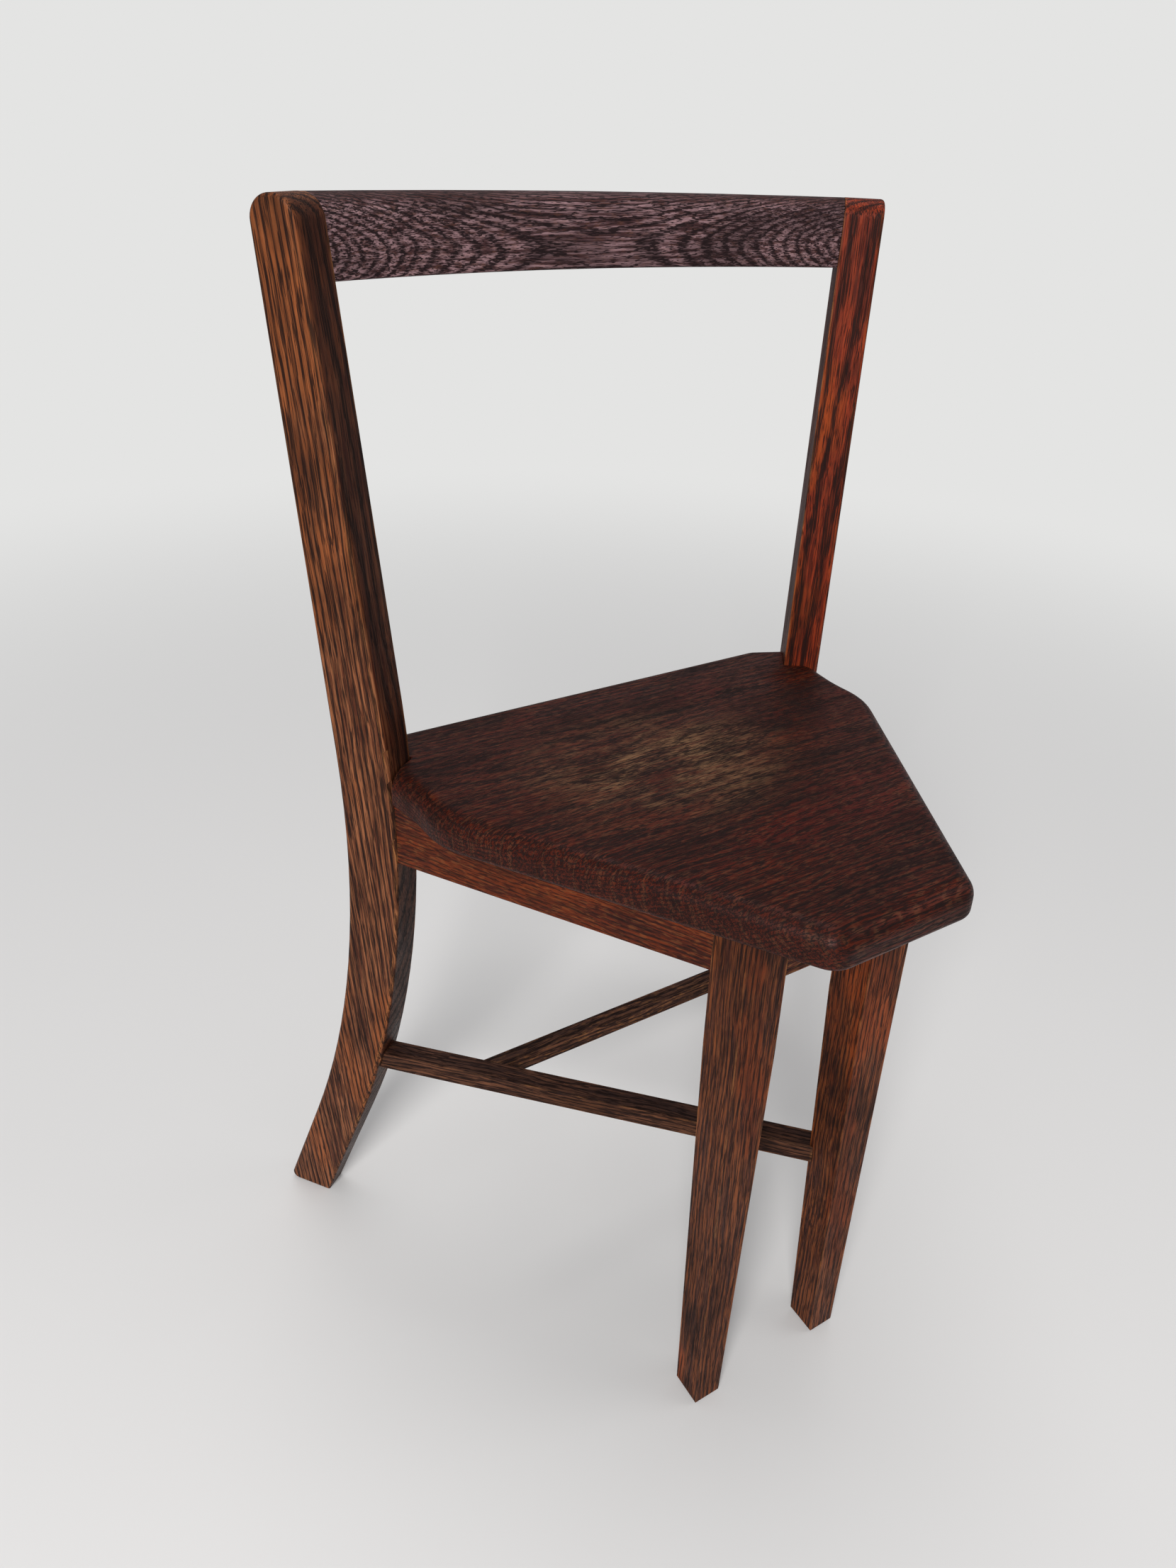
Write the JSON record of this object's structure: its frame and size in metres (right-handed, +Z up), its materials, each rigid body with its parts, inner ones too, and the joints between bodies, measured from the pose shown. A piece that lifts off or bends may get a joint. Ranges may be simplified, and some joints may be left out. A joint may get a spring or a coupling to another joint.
{
  "type": "corner chair",
  "caption": "Wooden corner chair: wedge seat narrowing to close front legs, sabre back posts set at an angle, bowed crest rail, crossed stretchers.",
  "frame": {"origin": "on the floor, under the middle of the chair's bounding box", "axes": "+Z up, the sitter faces -Y, +X to the left hand of the sitter; the two front legs are at -Y and the crest rail at +Y"},
  "size_m": [0.5154, 0.392, 0.778],
  "materials": {
    "stained_oak": "satin wax over dark brown stain, worn lighter at the edges",
    "pale_dowel": "bare, unstained",
    "screw_steel": "dull, plain steel"
  },
  "bodies": {
    "root": {"left_back_post": "stained_oak", "right_back_post": "stained_oak", "left_front_leg": "stained_oak", "right_front_leg": "stained_oak", "crest_rail": "stained_oak", "crest_rail_dowels": "pale_dowel", "seat_front_board": "stained_oak", "seat_rear_board": "stained_oak", "seat_joint_dowels": "pale_dowel", "left_side_apron": "stained_oak", "right_side_apron": "stained_oak", "front_apron": "stained_oak", "back_apron": "stained_oak", "left_diagonal_stretcher": "stained_oak", "right_diagonal_stretcher": "stained_oak", "cross_stretcher": "stained_oak", "rear_left_corner_block": "stained_oak", "rear_right_corner_block": "stained_oak", "front_left_corner_block": "stained_oak", "front_right_corner_block": "stained_oak", "corner_block_screws": "screw_steel", "seat_screws": "screw_steel"}
  },
  "joints": []
}
